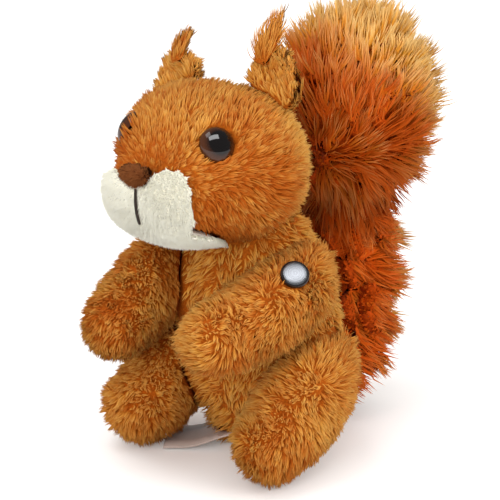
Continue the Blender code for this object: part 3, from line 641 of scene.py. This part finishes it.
EYE_OPENING = 4.1 * MM
BROW_SHIFT = Vector((0, 0.5 * MM, 0.7 * MM))  # the opening is a little above and behind the eye's middle
eye_middle, eye_way, _ = axis_of("eye_left", "eye_washer_left")
over_eye = over_disc(eye_middle + BROW_SHIFT, eye_way, EYE_OPENING)
nose_low, nose_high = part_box("nose")
MUZZLE_EDGE = 0.8 * MM  # how near the white panel a lock of the head may come
muzzle_forms = BVHTree.FromPolygons(
    [v.co for v in nodes["muzzle"].data.vertices],
    [tuple(f.vertices) for f in nodes["muzzle"].data.polygons],
)


def off_the_face(points):
    """Tells the points over the left eye, over the nose, and in or close over the muzzle."""
    over_muzzle = []
    for point, way in zip(points, head_facing(points, points)):
        hit = muzzle_forms.ray_cast(Vector(point + way * MM), Vector(-way))
        over_muzzle.append(hit[0] is not None and hit[3] < MUZZLE_EDGE)
    over_nose = (np.abs(points[:, 0]) < nose_high.x * 0.6) & (points[:, 1] < nose_high.y)
    over_nose &= (points[:, 2] > nose_low.z) & (points[:, 2] < nose_high.z - 2 * MM)
    return over_eye(points) | over_nose | np.array(over_muzzle)


LOCK_WIDTH = 0.6 * MM
# The head's pile is paler over the forehead and behind and deeper on the cheeks, as painted light and
# shade.
fur(
    "head_pile", head_cloth, ["head", "nose", "muzzle"], 17000, head_length, LOCK_WIDTH,
    away_from(*nose_tip, 1.0), brown_pile, seed=21, tone=head_tone_and_painted_light, spare=off_the_face,
)

# Torso: one stuffed bag of the same plush, sewn up the chest, where the seam parts the pile. At its foot
# the pile is left longer, and hangs as a fringe under the belly.
torso_cloth = cloth_over("torso_cloth", ["torso"], PILE_SINK, 2 * MM, brown_backing, "brown_plush")


def chest_lay(points, normals):
    """Down the body, and away from the seam on the front."""
    flow = np.zeros_like(points)
    flow[:, 0] = np.sign(points[:, 0]) * np.exp(-((points[:, 0] / (8 * MM)) ** 2)) * (normals[:, 1] < 0)
    flow[:, 2] = -0.9
    return along_cloth(flow, normals)


def torso_length(points, normals):
    """Short on the body, with a longer fringe under the belly."""
    return (3.4 + 6 * np.clip(1 - points[:, 2] / (14 * MM), 0, 1)) * MM


# The torso's locks take a paler tone than the limbs', as painted light that lifts the shade under the
# head and the arms.
fur(
    "torso_pile", torso_cloth, ["torso"], 8500, torso_length, 0.65 * MM,
    chest_lay, brown_pile, seed=22, swirl=0.35, tone=evenly(0.8),
)

# Arms: limp stuffed tubes of the same plush, sewn on at the shoulders, that reach forward to a round paw.
# The badge is pinned through the left one and presses its pile down.
LIMB_PILE = 3.9 * MM
BADGE_OPENING = 3.9 * MM
badge_middle, badge_way, badge_top = axis_of("badge_face", "badge_clasp")
for side_name, side in SIDES.items():
    arm = f"arm_{side_name}"
    pinned = ("badge_case", "badge_clasp", "badge_face") if side > 0 else ()
    arm_cloth = cloth_over(
        f"{arm}_cloth", [arm], PILE_SINK, 2 * MM, brown_backing, "brown_plush", filled=pinned
    )
    fur(
        f"{arm}_pile", arm_cloth, [arm], 7200, evenly(LIMB_PILE), LOCK_WIDTH,
        brushed(-0.25 * side, -0.8, -0.55), brown_pile, seed=30 + side, swirl=0.35,
        spare=over_disc(badge_middle, badge_way, BADGE_OPENING),
    )

# Legs: thick stuffed bags with thigh and foot in one, sewn on at the hips. They are of the same plush,
# brushed outwards from the thigh.
for side_name, side in SIDES.items():
    leg = f"leg_{side_name}"
    leg_cloth = cloth_over(f"{leg}_cloth", [leg], PILE_SINK, 2 * MM, brown_backing, "brown_plush")
    fur(
        f"{leg}_pile", leg_cloth, [leg], 7200, evenly(LIMB_PILE), LOCK_WIDTH,
        away_from(34 * side, -22, 30, 0.85), brown_pile, seed=40 + side, swirl=0.35,
    )

# Muzzle: a white panel of short, dense plush over the cheeks and the chin, let into the head and sewn
# along its edge. Its locks all stand as if the head's form went on through it.
white_backing = backing_material("white_backing", (0.8, 0.76, 0.64))
white_pile = pile_material(
    "white_pile",
    dark=((0.92, 0.86, 0.66), (0.96, 0.92, 0.75), (0.97, 0.94, 0.79)),
    light=((0.95, 0.9, 0.72), (0.98, 0.95, 0.8), (0.99, 0.97, 0.85)),
)
MUZZLE_SINK = 1.2 * MM
muzzle_cloth = cloth_over(
    "muzzle_cloth", ["muzzle"], MUZZLE_SINK, 0.9 * MM, white_backing, "white_plush"
)
stitch_low, stitch_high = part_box("mouth_stitch")


def over_stitch(points):
    """Tells the points over the thread down the middle."""
    level = (points[:, 2] > stitch_low.z) & (points[:, 2] < stitch_high.z)
    return level & (np.abs(points[:, 0]) < 0.7 * MM)


fur(
    "muzzle_pile", muzzle_cloth, ["muzzle", "head"], 15500, evenly(2.1 * MM), 0.55 * MM,
    away_from(*nose_tip, 0.55), white_pile, seed=51, bends=1, tuft=9, gather=0.25, stray=0.17,
    swirl=0.2, sunk=MUZZLE_SINK, clear=0.3 * MM, soft=0.92, facing=head_facing, edged=True,
    spare=over_stitch,
)

# Nose: a small padded patch of dark brown cloth, sewn on where the muzzle meets the head. Its nap is
# short and dense.
nose_backing = backing_material("nose_backing", (0.05, 0.015, 0.005))
nose_nap = pile_material(
    "nose_nap",
    dark=((0.05, 0.012, 0.004), (0.1, 0.026, 0.007), (0.16, 0.045, 0.012)),
    light=((0.09, 0.022, 0.006), (0.2, 0.055, 0.014), (0.34, 0.12, 0.035)),
)


def nap_lay(points, normals):
    """Downwards and outwards over the nose."""
    flow = np.zeros_like(points)
    flow[:, 0] = points[:, 0] / nose_high.x * 1.2
    flow[:, 2] = -0.4
    return along_cloth(flow, normals)


def nap_painted_light_and_shade(points, normals):
    """Browner above, as painted light, and darkest along the lower edge, as painted shade."""
    return np.clip((points[:, 2] - nose_low.z) / (nose_high.z - nose_low.z), 0, 1)


NOSE_SINK = 0.5 * MM
nose_cloth = cloth_over("nose_cloth", ["nose"], NOSE_SINK, 0.5 * MM, nose_backing, "nose_cloth")
# The nose's nap is browner above as painted light and darkest at its lower edge as painted shade.
fur(
    "nose_nap", nose_cloth, ["nose", "head"], 3200, evenly(2.2 * MM), 0.35 * MM,
    nap_lay, nose_nap, seed=52, bends=1, gather=0.3, sunk=NOSE_SINK, clear=0.2 * MM, tone=nap_painted_light_and_shade,
)

# Mouth: one long stitch of dark twisted thread, drawn tight down the middle of the muzzle. Its solid is
# shown as it is.
thread = bpy.data.materials.new("thread")
thread.use_nodes = True
tree = thread.node_tree
shader = tree.nodes["Principled BSDF"]
place = tree.nodes.new("ShaderNodeTexCoord")
twist = tree.nodes.new("ShaderNodeTexWave")
twist.bands_direction = "DIAGONAL"
twist.inputs["Scale"].default_value = 900
plies = tree.nodes.new("ShaderNodeValToRGB")
plies.color_ramp.elements[0].color = (0.008, 0.004, 0.003, 1)
plies.color_ramp.elements[1].color = (0.035, 0.016, 0.009, 1)
relief = tree.nodes.new("ShaderNodeBump")
relief.inputs["Strength"].default_value = 0.6
relief.inputs["Distance"].default_value = 0.15 * MM
tree.links.new(place.outputs["Object"], twist.inputs["Vector"])
tree.links.new(twist.outputs["Fac"], plies.inputs["Fac"])
tree.links.new(plies.outputs["Color"], shader.inputs["Base Color"])
tree.links.new(twist.outputs["Fac"], relief.inputs["Height"])
tree.links.new(relief.outputs["Normal"], shader.inputs["Normal"])
shader.inputs["Roughness"].default_value = 0.7
nodes["mouth_stitch"].data.materials.clear()
nodes["mouth_stitch"].data.materials.append(thread)

# Eyes: safety eyes moulded in glossy plastic, brown round a black pupil. Each has a shank through the
# head's cloth, which a washer holds from inside.


def turned_piece(name, profile, steps, material):
    """A round piece from a profile of (radius, height) that starts and ends on its Z axis."""
    mesh = bpy.data.meshes.new(name)
    mesh.from_pydata([(r, 0, z) for r, z in profile], [(i, i + 1) for i in range(len(profile) - 1)], [])
    piece = bpy.data.objects.new(name, mesh)
    bpy.context.scene.collection.objects.link(piece)
    bpy.ops.object.select_all(action="DESELECT")
    piece.select_set(True)
    bpy.context.view_layer.objects.active = piece
    bpy.ops.object.mode_set(mode="EDIT")
    bpy.ops.mesh.select_all(action="SELECT")
    bpy.ops.mesh.spin(steps=steps, angle=2 * math.pi, center=(0, 0, 0), axis=(0, 0, 1))
    bpy.ops.mesh.select_all(action="SELECT")
    bpy.ops.mesh.remove_doubles(threshold=0.001 * MM)
    bpy.ops.mesh.normals_make_consistent(inside=False)
    bpy.ops.object.mode_set(mode="OBJECT")
    bpy.ops.object.shade_smooth_by_angle(angle=math.radians(35))
    across = mesh.attributes.new("from_axis", "FLOAT", "POINT")
    across.data.foreach_set("value", [v.co.xy.length for v in mesh.vertices])
    mesh.materials.append(material)
    return piece


def seat(piece, origin, way):
    """Stands a turned piece on a point, its Z along way, with its place in its mesh."""
    piece.data.transform(Matrix.Translation(origin) @ way.to_track_quat("Z", "Y").to_matrix().to_4x4())
    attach(piece, "root")


EYE_RADIUS = 5 * MM
EYE_DOME = 3.0 * MM
EYE_FLANGE = 0.5 * MM
SHANK_RADIUS = 1.4 * MM
SHANK_LENGTH = 8 * MM
eye_gloss = bpy.data.materials.new("eye_gloss")
eye_gloss.use_nodes = True
tree = eye_gloss.node_tree
shader = tree.nodes["Principled BSDF"]
radius = tree.nodes.new("ShaderNodeAttribute")
radius.attribute_name = "from_axis"
share = tree.nodes.new("ShaderNodeMapRange")
share.inputs["From Max"].default_value = EYE_RADIUS
iris = tree.nodes.new("ShaderNodeValToRGB")
iris.color_ramp.elements[0].position = 0.62
iris.color_ramp.elements[0].color = (0.003, 0.002, 0.002, 1)
iris.color_ramp.elements[1].position = 0.9
iris.color_ramp.elements[1].color = (0.06, 0.018, 0.006, 1)
tree.links.new(radius.outputs["Fac"], share.inputs["Value"])
tree.links.new(share.outputs["Result"], iris.inputs["Fac"])
tree.links.new(iris.outputs["Color"], shader.inputs["Base Color"])
shader.inputs["Roughness"].default_value = 0.07
shader.inputs["Specular IOR Level"].default_value = 0.5

for side_name in SIDES:
    eye_middle, eye_way, eye_top = axis_of(f"eye_{side_name}", f"eye_washer_{side_name}")
    dome = [
        (EYE_RADIUS * math.cos(turn), EYE_DOME * math.sin(turn) - EYE_DOME)
        for turn in np.linspace(0, math.pi / 2, 17)
    ]
    flange = -EYE_DOME - EYE_FLANGE
    shank_end = flange - SHANK_LENGTH
    shank = [(0, shank_end), (SHANK_RADIUS, shank_end), (SHANK_RADIUS, flange), (EYE_RADIUS, flange)]
    eye = turned_piece(f"eye_{side_name}_dome", shank + dome[:-1] + [(0, 0)], 64, eye_gloss)
    seat(eye, eye_middle + eye_way * eye_top, eye_way)
    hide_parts(f"eye_{side_name}")
    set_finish(eye, "eye_plastic")

# Eye washers: pressed rings of milky plastic on the eyes' shanks, inside the head, where they grip the
# cloth. Their solids are shown as they are.
cloud, given, made = new_effect(
    "cloud", {"Scale": "Float", "Dark": "Color", "Light": "Color"}, {"Color": "Color"}
)
place = cloud.nodes.new("ShaderNodeTexCoord")
puffs = cloud.nodes.new("ShaderNodeTexNoise")
cloud.links.new(place.outputs["Object"], puffs.inputs["Vector"])
cloud.links.new(given.outputs["Scale"], puffs.inputs["Scale"])
puff_colour = mixed(cloud, puffs.outputs["Fac"], given.outputs["Dark"], given.outputs["Light"])
cloud.links.new(puff_colour, made.inputs["Color"])
washer_plastic = dressed_in(
    "washer_plastic", cloud,
    {"Scale": 300, "Dark": (0.62, 0.62, 0.6, 1), "Light": (0.8, 0.8, 0.78, 1)}, roughness=0.4,
)
for side_name in SIDES:
    washer = nodes[f"eye_washer_{side_name}"]
    washer.data.materials.clear()
    washer.data.materials.append(washer_plastic)

# Badge: a pressed steel button with a dark rim round a bare brushed tin face. Its pin goes through the
# cloth of the left arm, and a steel clasp holds it from inside.
rings, given, made = new_effect("rings", {"Dark": "Color", "Light": "Color"}, {"Color": "Color"})
radius = rings.nodes.new("ShaderNodeAttribute")
radius.attribute_name = "from_axis"
brushing = rings.nodes.new("ShaderNodeTexNoise")
brushing.noise_dimensions = "1D"
brushing.inputs["Scale"].default_value = 9000
rings.links.new(radius.outputs["Fac"], brushing.inputs["W"])
ring_share = stretched(rings, brushing.outputs["Fac"], 0.3, 0.7)
ring_colour = mixed(rings, ring_share, given.outputs["Dark"], given.outputs["Light"])
rings.links.new(ring_colour, made.inputs["Color"])
dark_steel = dressed_in(
    "dark_steel", rings, {"Dark": (0.05, 0.045, 0.045, 1), "Light": (0.09, 0.08, 0.08, 1)},
    roughness=0.35, metallic=1.0,
)
bright_tin = dressed_in(
    "bright_tin", rings, {"Dark": (0.07, 0.075, 0.085, 1), "Light": (0.28, 0.29, 0.31, 1)},
    roughness=0.35, metallic=1.0,
)
BADGE_RADIUS, BADGE_HEIGHT, BADGE_RIM, BADGE_RECESS = 4 * MM, 1.5 * MM, 0.45 * MM, 0.6 * MM
PIN_RADIUS, PIN_LENGTH, PART_GAP = 0.6 * MM, 5 * MM, 0.3 * MM
case_profile = [
    (0, -PIN_LENGTH),
    (PIN_RADIUS, -PIN_LENGTH),
    (PIN_RADIUS, 0),
    (BADGE_RADIUS - BADGE_HEIGHT * 0.2, 0),
    (BADGE_RADIUS - BADGE_HEIGHT * 0.06, BADGE_HEIGHT * 0.1),
    (BADGE_RADIUS, BADGE_HEIGHT * 0.27),
    (BADGE_RADIUS, BADGE_HEIGHT * 0.77),
    (BADGE_RADIUS - BADGE_HEIGHT * 0.07, BADGE_HEIGHT * 0.93),
    (BADGE_RADIUS - BADGE_HEIGHT * 0.23, BADGE_HEIGHT),
    (BADGE_RADIUS - BADGE_RIM, BADGE_HEIGHT * 0.97),
    (BADGE_RADIUS - BADGE_RIM, BADGE_HEIGHT - BADGE_RECESS),
    (0, BADGE_HEIGHT - BADGE_RECESS),
]
face_radius = BADGE_RADIUS - BADGE_RIM - 0.05 * MM
face_floor = BADGE_HEIGHT - BADGE_RECESS + 0.05 * MM
face_edge = BADGE_HEIGHT * 0.95
face_top = BADGE_HEIGHT - BADGE_RECESS + PART_GAP + BADGE_HEIGHT * 0.45
face_profile = [(0, face_floor), (face_radius, face_floor)] + [
    (face_radius * math.cos(turn), face_edge + (face_top - face_edge) * math.sin(turn))
    for turn in np.linspace(0, math.pi / 2, 13)[:-1]
] + [(0, face_top)]
badge_foot = badge_middle + badge_way * (badge_top - face_top)
for part, profile, material, slot in (
    ("badge_case", case_profile, dark_steel, "badge_steel"),
    ("badge_face", face_profile, bright_tin, "badge_tin"),
):
    piece = turned_piece(f"{part}_turned", profile, 72, material)
    seat(piece, badge_foot, badge_way)
    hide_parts(part)
    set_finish(piece, slot)
clasp_steel = dressed_in(
    "clasp_steel", cloud, {"Scale": 900, "Dark": (0.3, 0.3, 0.3, 1), "Light": (0.5, 0.5, 0.5, 1)},
    roughness=0.4, metallic=1.0,
)
nodes["badge_clasp"].data.materials.clear()
nodes["badge_clasp"].data.materials.append(clasp_steel)

# Tag: a bare satin tape, sewn in under the belly and lying out over the table between the legs. It is
# its solid with smoother bends.
satin = bpy.data.materials.new("satin")
satin.use_nodes = True
tree = satin.node_tree
shader = tree.nodes["Principled BSDF"]
place = tree.nodes.new("ShaderNodeTexCoord")
weave = tree.nodes.new("ShaderNodeTexWave")
weave.bands_direction = "Y"
weave.inputs["Scale"].default_value = 900
weave.inputs["Distortion"].default_value = 1.5
# The satin's colours are darkened, partly for the tag's print, which isn't drawn, and partly as painted
# shade under the belly.
threads_and_shade = tree.nodes.new("ShaderNodeValToRGB")
threads_and_shade.color_ramp.elements[0].color = (0.34, 0.25, 0.21, 1)
threads_and_shade.color_ramp.elements[1].color = (0.52, 0.42, 0.37, 1)
relief = tree.nodes.new("ShaderNodeBump")
relief.inputs["Strength"].default_value = 0.3
relief.inputs["Distance"].default_value = 0.05 * MM
tree.links.new(place.outputs["Object"], weave.inputs["Vector"])
tree.links.new(weave.outputs["Fac"], threads_and_shade.inputs["Fac"])
tree.links.new(threads_and_shade.outputs["Color"], shader.inputs["Base Color"])
tree.links.new(weave.outputs["Fac"], relief.inputs["Height"])
tree.links.new(relief.outputs["Normal"], shader.inputs["Normal"])
shader.inputs["Roughness"].default_value = 0.35
tag = bpy.data.objects.new("tag_tape", nodes["sewn_tag"].data.copy())
bpy.context.scene.collection.objects.link(tag)
bpy.ops.object.select_all(action="DESELECT")
tag.select_set(True)
bpy.context.view_layer.objects.active = tag
bpy.ops.object.mode_set(mode="EDIT")
bpy.ops.mesh.select_all(action="SELECT")
bpy.ops.mesh.remove_doubles(threshold=0.001 * MM)
bpy.ops.mesh.subdivide(number_cuts=2)
bpy.ops.object.mode_set(mode="OBJECT")
bpy.ops.object.shade_smooth_by_angle(angle=math.radians(35))
tag.data.materials.clear()
tag.data.materials.append(satin)
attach(tag, "root")
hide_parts("sewn_tag")
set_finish(tag, "tag_satin")

# Ears: two cupped layers of the brown plush each, sewn into the top of the head, with the pile stroked up
# to the tip
EAR_SINK = 1.6 * MM
EAR_PILE = 3.8 * MM
for side_name, side in SIDES.items():
    ear = f"ear_{side_name}"
    ear_cloth = cloth_over(f"{ear}_cloth", [ear], EAR_SINK, 1.0 * MM, brown_backing, "brown_plush")
    fur(
        f"{ear}_pile", ear_cloth, [ear, f"ear_tuft_{side_name}"], 1700, evenly(EAR_PILE), LOCK_WIDTH,
        brushed(0, 0, 0.9), brown_pile, seed=60 + side, sunk=EAR_SINK, swirl=0.5, tone=evenly(0.75),
    )

# Ear tufts: a few long wisps of the same fur, sewn into the tip of each ear. Each tuft is a thin backing
# that the loose wisps wander out of.
TUFT_WISP = 5 * MM
TUFT_UNEVEN = 1 * MM  # the left tuft is longer than this, and the right one shorter


def tuft_lay(points, normals):
    """Up and back, whichever way the backing faces."""
    return np.tile((0.5, 0.8, 2.5), (len(points), 1))


for side_name, side in SIDES.items():
    tuft = f"ear_tuft_{side_name}"
    tuft_cloth = cloth_over(
        f"{tuft}_cloth", [tuft], 0.3 * MM, 0.7 * MM, brown_backing, "tail_fur", rounding=40
    )
    fur(
        f"{tuft}_wisps", tuft_cloth, [tuft, f"ear_{side_name}", "head"], 350,
        evenly(TUFT_WISP + side * TUFT_UNEVEN), 0.3 * MM, tuft_lay, brown_pile, seed=70 + side,
        bends=4, tuft=12, gather=0.4, stray=0.25, swirl=0.6, tone=evenly(0.6),
    )

# Tail: long loose fur on a softly filled core, sewn to the rump. It stands up behind the back and curls
# back over its top, and its fur fans out from the place where it curls.
long_pile = pile_material(
    "long_pile",
    dark=((0.44, 0.05, 0.0005), (0.48, 0.06, 0.001), (0.52, 0.08, 0.0015)),
    light=((0.62, 0.17, 0.005), (0.76, 0.32, 0.03), (0.92, 0.64, 0.25)),
    roughness=0.7,
)
long_backing = backing_material("long_backing", (0.38, 0.045, 0.001))
CURL = np.array((0, CAMERA_AIM.y + 36 * MM, 82 * MM))
TAIL_SINK = 6 * MM
TAIL_PILE = 11 * MM
PLUME_FOOT = 58 * MM  # the plume's lay and tone start here, and are full 12 mm above it
PLUME_BLEND = 12 * MM
BRUSH_TOP = 60 * MM
tail_cloth = cloth_over(
    "tail_cloth", ["tail"], TAIL_SINK, 2.5 * MM, long_backing, "tail_fur", rounding=60
)


def plume_share(points):
    """None below the plume and all in it."""
    return np.clip((points[:, 2:3] - PLUME_FOOT) / PLUME_BLEND, 0, 1)


def tail_lay(points, normals):
    """Up and down from a parting at the curl above, and back and down along the lower tail."""
    from_curl = points - CURL
    from_curl[:, 0] *= 0.25
    from_curl[:, 1] -= np.clip(from_curl[:, 1], -8 * MM, 8 * MM)
    brush = np.zeros_like(points)
    brush[:, 1] = 1.3
    brush[:, 2] = -0.6
    share = plume_share(points)
    return unit(from_curl) * 1.9 * share + brush * (1 - share)


plume_points = np.array([v.co for v in tail_cloth.data.vertices if v.co.z > 70 * MM])
plume_middle = (plume_points.min(axis=0) + plume_points.max(axis=0)) / 2


def tail_facing(points, normals):
    """The soft outer form of the whole tail: a ball above, and a round column below."""
    ball = unit((points - plume_middle) * np.array((1.4, 1, 1)))
    column = unit((points - plume_middle + np.array((0, 10 * MM, 0))) * np.array((1, 1, 0)))
    share = plume_share(points)
    return unit(ball * share + column * (1 - share))


def tail_tone_and_painted_light(points, normals):
    """Golden on top and behind, partly as painted light and partly where the pale tips are seen, and deep
    red in front, at the sides and down the tail, as painted shade near the head and the body.
    """
    facing = tail_facing(points, normals)
    plume = np.clip((facing[:, 1] * 1.3 + facing[:, 2] * 1.25 + 0.42) / 0.9, 0, 1)
    behind = np.clip((facing[:, 1] - 0.3) / 0.7, 0, 1)
    share = plume_share(points)[:, 0]
    return (0.1 + 0.75 * plume) * share + 0.8 * behind * (1 - share)


# The tail's fur is toned with painted light on top and behind and painted shade in front and below.
for part, count, bends, width, seed, where in (
    ("plume", 12000, 3, 0.6 * MM, 81, lambda points: points[:, 2] > BRUSH_TOP),
    ("brush", 7500, 2, 0.8 * MM, 82, lambda points: points[:, 2] <= BRUSH_TOP),
):
    fur(
        f"tail_{part}_fur", tail_cloth, ["tail"], count, evenly(TAIL_PILE), width, tail_lay, long_pile,
        seed=seed, bends=bends, tuft=10, gather=0.35, stray=0.07, swirl=0.15, tone=tail_tone_and_painted_light,
        sunk=TAIL_SINK, soft=0.92, facing=tail_facing, where=where, mottle=0.5,
    )
